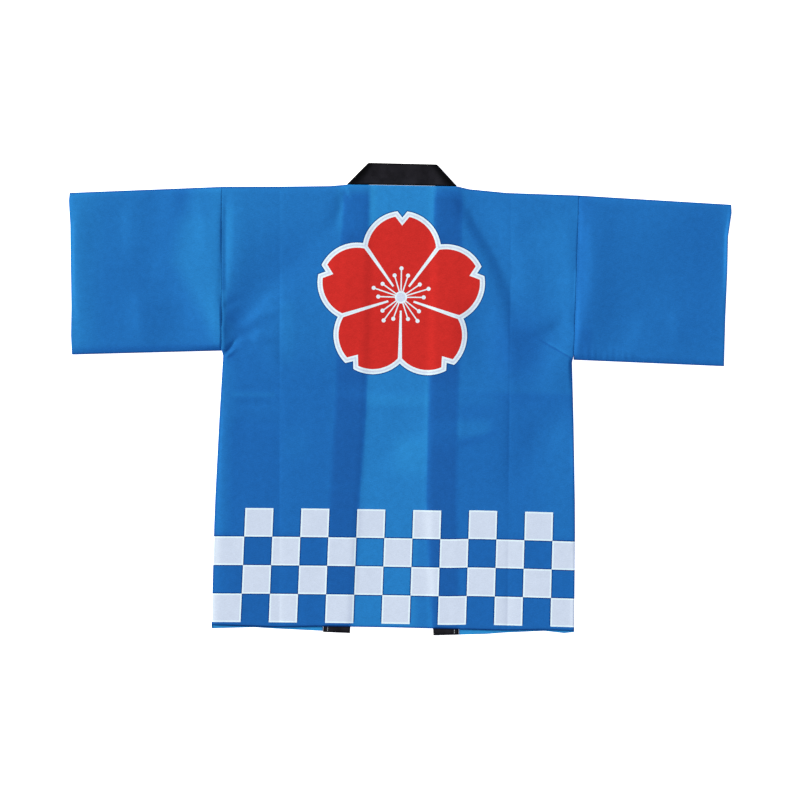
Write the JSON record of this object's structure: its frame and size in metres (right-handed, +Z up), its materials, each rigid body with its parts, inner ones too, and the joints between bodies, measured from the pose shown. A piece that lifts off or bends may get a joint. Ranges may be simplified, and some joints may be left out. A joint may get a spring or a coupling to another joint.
{
  "type": "happi coat",
  "caption": "Happi coat of thin blue cloth laid flat with its back up: wide open sleeves, a long black collar band, a printed check border at the hem and a large blossom on the back.",
  "frame": {"origin": "centre of the laid coat's outline, on the surface that it lies on", "axes": "+X towards the wearer's right sleeve, +Y towards the collar, +Z up out of the coat's back"},
  "size_m": [1.1928, 0.8484, 0.0063],
  "materials": {
    "blue_cloth": "matte thin cloth with a printed check border",
    "black_cloth": "matte black cloth"
  },
  "bodies": {
    "root": {"back": "blue_cloth", "front_left": "blue_cloth", "front_right": "blue_cloth", "sleeve_left": "blue_cloth", "sleeve_right": "blue_cloth", "collar": "black_cloth"}
  },
  "joints": []
}
